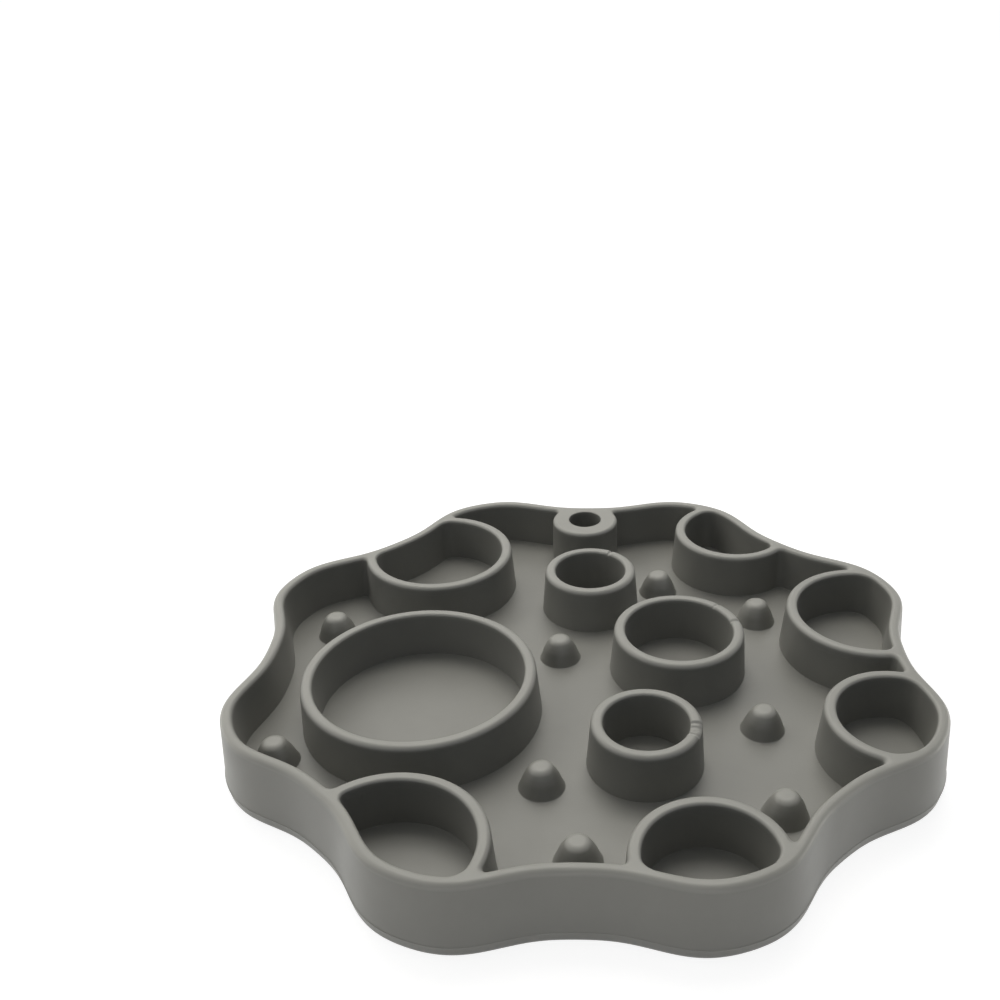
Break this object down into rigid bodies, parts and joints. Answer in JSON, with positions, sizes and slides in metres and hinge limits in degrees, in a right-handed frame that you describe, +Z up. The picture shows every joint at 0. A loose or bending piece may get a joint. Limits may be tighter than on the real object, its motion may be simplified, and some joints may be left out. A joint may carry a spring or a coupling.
{
  "type": "slow feeder bowl",
  "caption": "Reversible scalloped silicone feeding mat: food cups and cone nubs in a walled tray on one side, a lattice of shallow lick rings on the other, with a hanging hole.",
  "frame": {"origin": "centre of the bounding box in plan, on the plane that the lick-side rim rests on", "axes": "+Z up out of the cup side, +Y towards the hanging hole, +X to the right of the hole seen from above with the hole at the back"},
  "size_m": [0.2136, 0.202, 0.024],
  "materials": {
    "silicone": "matt warm grey moulded silicone"
  },
  "bodies": {
    "root": {"floor_web": "silicone", "outer_wall": "silicone", "lick_rim": "silicone", "border_ridge": "silicone", "ring_lattice": "silicone", "hanging_boss": "silicone", "large_cup": "silicone", "back_cup": "silicone", "middle_cup": "silicone", "front_cup": "silicone", "side_cup_back_left": "silicone", "side_cup_back_right": "silicone", "side_cup_right": "silicone", "side_cup_front_right": "silicone", "side_cup_front": "silicone", "side_cup_front_left": "silicone", "cone_nub_1": "silicone", "cone_nub_2": "silicone", "cone_nub_3": "silicone", "cone_nub_4": "silicone", "cone_nub_5": "silicone", "cone_nub_6": "silicone", "cone_nub_7": "silicone", "cone_nub_8": "silicone", "cone_nub_9": "silicone"}
  },
  "joints": []
}
